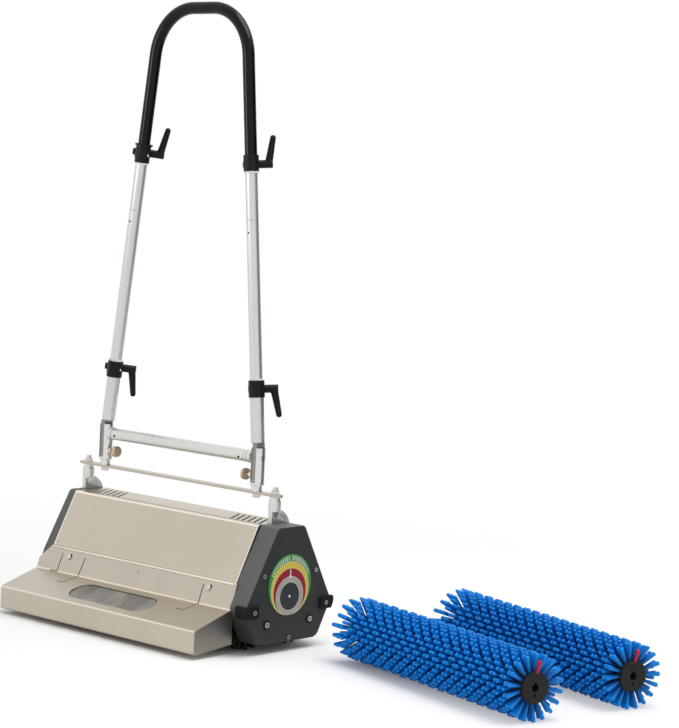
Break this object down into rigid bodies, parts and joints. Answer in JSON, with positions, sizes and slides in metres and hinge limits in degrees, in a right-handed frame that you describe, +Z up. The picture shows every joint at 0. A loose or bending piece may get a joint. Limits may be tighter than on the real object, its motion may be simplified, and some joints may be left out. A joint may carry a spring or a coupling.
{
  "type": "counter-rotating brush scrubber",
  "caption": "Walk-behind scrubber with geared counter-rotating brushes under a stainless cover, a front catch tray, a folding tubular handle, and a spare pair of blue brushes on the floor.",
  "frame": {"origin": "on the floor, midway between the outer end faces and midway between the brush axes", "axes": "+X along the brushes to the dial end, +Y away from the tray, +Z up"},
  "size_m": [1.0829, 0.4581, 1.0159],
  "materials": {
    "stainless": "brushed",
    "end_grey": "satin",
    "dial_print": "printed, satin",
    "black_rubber": "matt",
    "screw_steel": "satin",
    "black_plastic": "satin",
    "switch_red": "gloss",
    "clear_pane": "clear",
    "plate_steel": "satin",
    "motor_paint": "satin",
    "gear_plastic": "satin",
    "cast_polish": "polished",
    "tie_steel": "satin",
    "tube_silver": "satin anodised",
    "knob_champagne": "satin anodised",
    "bow_black": "gloss",
    "bristle_blue": "satin",
    "bristle_black": "satin"
  },
  "bodies": {
    "machine": {"left_side_plate": "plate_steel", "right_side_plate": "plate_steel", "cross_rails": "plate_steel", "main_cover": "stainless", "left_end_cover": "end_grey", "right_end_cover": "end_grey", "dial_plate": "dial_print", "corner_bumpers": "black_rubber", "cover_screws": "screw_steel", "spindle_bushes": "black_plastic", "spindle_bearings": "screw_steel", "idle_stubs": "screw_steel", "idler_pins": "screw_steel", "motor_can": "motor_paint", "motor_mount": "plate_steel", "drive_belt": "black_rubber", "switch_bezel": "black_plastic", "cable_gland": "black_plastic", "tray_screws": "screw_steel", "handle_pivot_pins": "screw_steel"},
    "front_brush": {"front_spindle": "screw_steel", "front_gear": "gear_plastic", "front_brush_core": "black_plastic", "front_brush_bristles": "bristle_black"},
    "rear_brush": {"rear_spindle": "screw_steel", "rear_gear": "gear_plastic", "rear_brush_core": "black_plastic", "rear_brush_bristles": "bristle_black"},
    "front_idler": {"front_idler_gear": "gear_plastic", "driven_pulley": "gear_plastic"},
    "rear_idler": {"rear_idler_gear": "gear_plastic"},
    "motor": {"motor_rotor": "plate_steel", "motor_pulley": "gear_plastic"},
    "rocker": {"switch_rocker": "switch_red"},
    "tray": {"catch_tray": "stainless", "tray_window": "clear_pane"},
    "handle_foot": {"left_pivot_arm": "cast_polish", "right_pivot_arm": "cast_polish", "tie_bar": "tie_steel", "tie_bar_bolts": "screw_steel", "left_fork": "cast_polish", "right_fork": "cast_polish", "crossbar": "tube_silver", "fold_pins": "screw_steel"},
    "handle_top": {"leg_feet": "tie_steel", "lower_tubes": "tube_silver", "lower_collars": "black_plastic", "middle_tubes": "tube_silver", "upper_collars": "black_plastic", "bow_handle": "bow_black"},
    "left_plunger": {"left_plunger": "knob_champagne"},
    "right_plunger": {"right_plunger": "knob_champagne"},
    "lower_left_lever": {"lower_left_lever": "black_plastic"},
    "lower_right_lever": {"lower_right_lever": "black_plastic"},
    "upper_left_lever": {"upper_left_lever": "black_plastic"},
    "upper_right_lever": {"upper_right_lever": "black_plastic"},
    "loose_front": {"loose_front_core": "black_plastic", "loose_front_bristles": "bristle_blue"},
    "loose_rear": {"loose_rear_core": "black_plastic", "loose_rear_bristles": "bristle_blue"}
  },
  "joints": [
    {"name": "front_brush_spin", "type": "hinge", "parent": "machine", "child": "front_brush", "pos_m": [0, -0.0485, 0.0475], "axis": [1, 0, 0], "continuous": true},
    {"name": "rear_brush_spin", "type": "hinge", "parent": "machine", "child": "rear_brush", "pos_m": [0, 0.0485, 0.0475], "axis": [1, 0, 0], "continuous": true},
    {"name": "front_idler_spin", "type": "hinge", "parent": "machine", "child": "front_idler", "pos_m": [0, -0.01617, 0.0475], "axis": [1, 0, 0], "continuous": true},
    {"name": "rear_idler_spin", "type": "hinge", "parent": "machine", "child": "rear_idler", "pos_m": [0, 0.01617, 0.0475], "axis": [1, 0, 0], "continuous": true},
    {"name": "motor_spin", "type": "hinge", "parent": "machine", "child": "motor", "pos_m": [0, 0, 0.138], "axis": [1, 0, 0], "continuous": true},
    {"name": "switch_rock", "type": "hinge", "parent": "machine", "child": "rocker", "pos_m": [0.096, 0.05674, 0.15521], "axis": [1, 0, 0], "range_deg": [-8, 8]},
    {"name": "tray_slide", "type": "slide", "parent": "machine", "child": "tray", "axis": [-0.788, -0.1851, -0.5872], "range_m": [0, 0.005]},
    {"name": "handle_tilt", "type": "hinge", "parent": "machine", "child": "handle_foot", "pos_m": [0, 0, 0.1875], "axis": [-1, 0, 0], "range_deg": [0, 50]},
    {"name": "handle_fold", "type": "hinge", "parent": "handle_foot", "child": "handle_top", "pos_m": [0, 0, 0.2975], "axis": [1, 0, 0], "range_deg": [0, 95]},
    {"name": "left_plunger_slide", "type": "slide", "parent": "handle_foot", "child": "left_plunger", "axis": [-1, 0, 0], "range_m": [0, 0.008]},
    {"name": "right_plunger_slide", "type": "slide", "parent": "handle_foot", "child": "right_plunger", "axis": [1, 0, 0], "range_m": [0, 0.008]},
    {"name": "lower_left_lever_turn", "type": "hinge", "parent": "handle_top", "child": "lower_left_lever", "pos_m": [-0.19174, 0.01501, 0.40813], "axis": [0.736, 0.6706, -0.0927], "range_deg": [-90, 90]},
    {"name": "lower_right_lever_turn", "type": "hinge", "parent": "handle_top", "child": "lower_right_lever", "pos_m": [0.13994, 0.01496, 0.40344], "axis": [0.737, 0.672, 0.0725], "range_deg": [-90, 90]},
    {"name": "upper_left_lever_turn", "type": "hinge", "parent": "handle_top", "child": "upper_left_lever", "pos_m": [-0.15119, 0.0205, 0.76959], "axis": [0.736, 0.6706, -0.0927], "range_deg": [-90, 90]},
    {"name": "upper_right_lever_turn", "type": "hinge", "parent": "handle_top", "child": "upper_right_lever", "pos_m": [0.10012, 0.02035, 0.7584], "axis": [0.737, 0.672, 0.0725], "range_deg": [-90, 90]},
    {"name": "loose_front_lift", "type": "slide", "parent": "machine", "child": "loose_front", "axis": [0, 0, 1], "range_m": [0, 0.3]},
    {"name": "loose_rear_lift", "type": "slide", "parent": "machine", "child": "loose_rear", "axis": [0, 0, 1], "range_m": [0, 0.3]}
  ],
  "couplings": [
    {"joint": "rear_brush_spin", "follows": "front_brush_spin", "ratio": -1},
    {"joint": "front_idler_spin", "follows": "front_brush_spin", "ratio": -1},
    {"joint": "rear_idler_spin", "follows": "front_brush_spin", "ratio": 1},
    {"joint": "motor_spin", "follows": "front_brush_spin", "ratio": -1.708}
  ]
}
